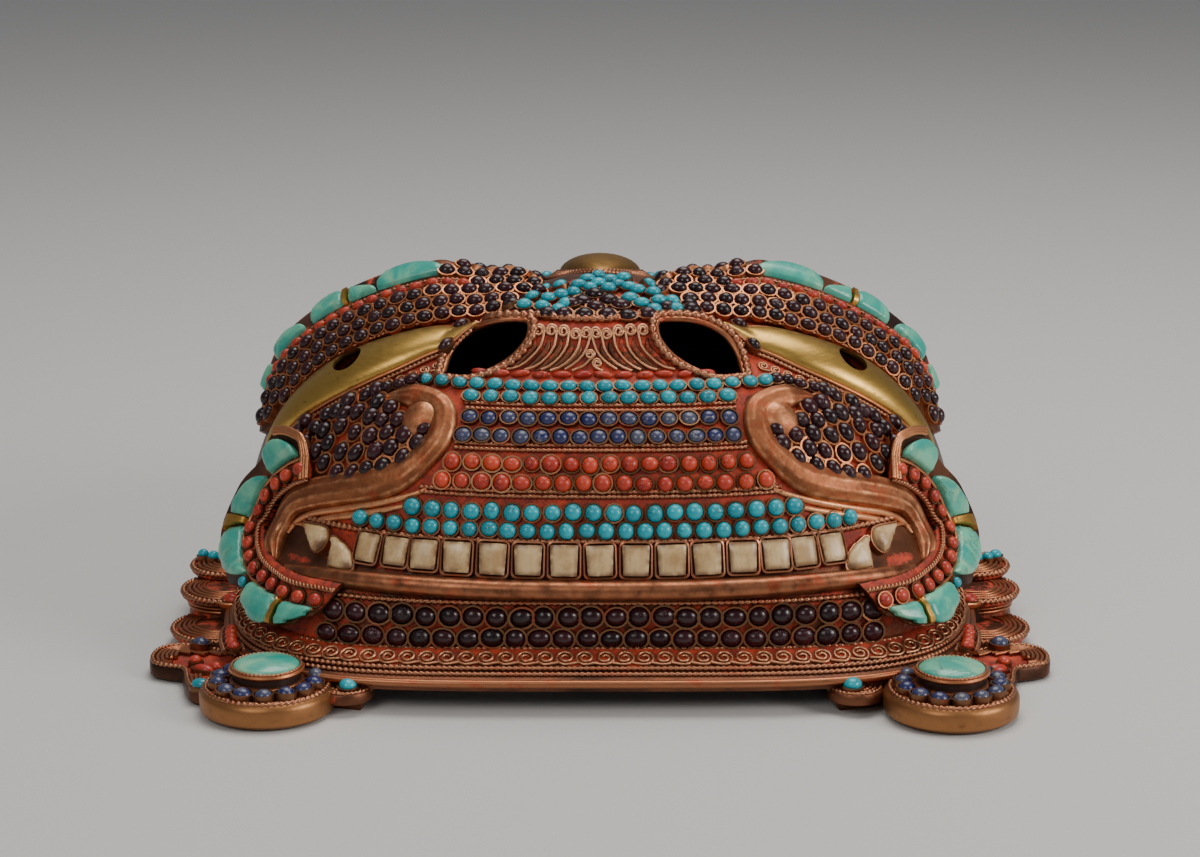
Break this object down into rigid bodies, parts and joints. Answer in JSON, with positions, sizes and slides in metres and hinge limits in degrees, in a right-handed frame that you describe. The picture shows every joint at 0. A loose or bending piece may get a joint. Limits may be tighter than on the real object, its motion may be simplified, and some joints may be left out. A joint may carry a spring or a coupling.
{
  "type": "wall mask",
  "caption": "Copper wall mask of a wrathful guardian, inlaid with turquoise, coral, lapis and garnets, with brass eyes, bone teeth, round earring plates and a lobed crown.",
  "frame": {"origin": "on the surface that the mask lies on, under the middle of its bounding box", "axes": "+Z out of the face, away from the wall; -Y from the crown to the chin; +X to the right of a person who faces the mask"},
  "size_m": [0.2678, 0.272, 0.1125],
  "materials": {
    "copper": "beaten copper, brown patina, worn bright on its high places",
    "brass": "satin yellow brass, rubbed",
    "bone": "polished bone, stained at its edges",
    "turquoise": "polished stone with dark veins",
    "coral": "polished coral",
    "lapis": "polished lapis, grey-blue to deep blue",
    "garnet": "polished, nearly black"
  },
  "bodies": {
    "root": {"face_shell": "copper", "rim_plate": "copper", "third_eye": "brass", "ear_left": "copper", "brow_left": "copper", "cheek_band_left": "copper", "eye_left": "brass", "earring_stone_left": "turquoise", "cheek_flame_left_1": "turquoise", "cheek_flame_left_2": "turquoise", "cheek_flame_left_3": "turquoise", "cheek_flame_left_4": "turquoise", "cheek_flame_left_5": "turquoise", "brow_flame_left_1": "turquoise", "brow_flame_left_2": "turquoise", "brow_flame_left_3": "turquoise", "brow_flame_left_4": "turquoise", "brow_flame_left_5": "turquoise", "fang_lower_left": "bone", "fang_upper_left": "bone", "ear_right": "copper", "brow_right": "copper", "cheek_band_right": "copper", "eye_right": "brass", "earring_stone_right": "turquoise", "cheek_flame_right_1": "turquoise", "cheek_flame_right_2": "turquoise", "cheek_flame_right_3": "turquoise", "cheek_flame_right_4": "turquoise", "cheek_flame_right_5": "turquoise", "brow_flame_right_1": "turquoise", "brow_flame_right_2": "turquoise", "brow_flame_right_3": "turquoise", "brow_flame_right_4": "turquoise", "brow_flame_right_5": "turquoise", "fang_lower_right": "bone", "fang_upper_right": "bone", "tooth_01": "bone", "tooth_02": "bone", "tooth_03": "bone", "tooth_04": "bone", "tooth_05": "bone", "tooth_06": "bone", "tooth_07": "bone", "tooth_08": "bone", "tooth_09": "bone", "tooth_10": "bone", "tooth_11": "bone", "tooth_12": "bone", "tooth_13": "bone", "tooth_14": "bone", "tooth_15": "bone", "upper_lip_turquoise": "turquoise", "upper_lip_coral": "coral", "upper_lip_lapis": "lapis", "nose_base_turquoise": "turquoise", "chin_garnet": "garnet"}
  },
  "joints": []
}
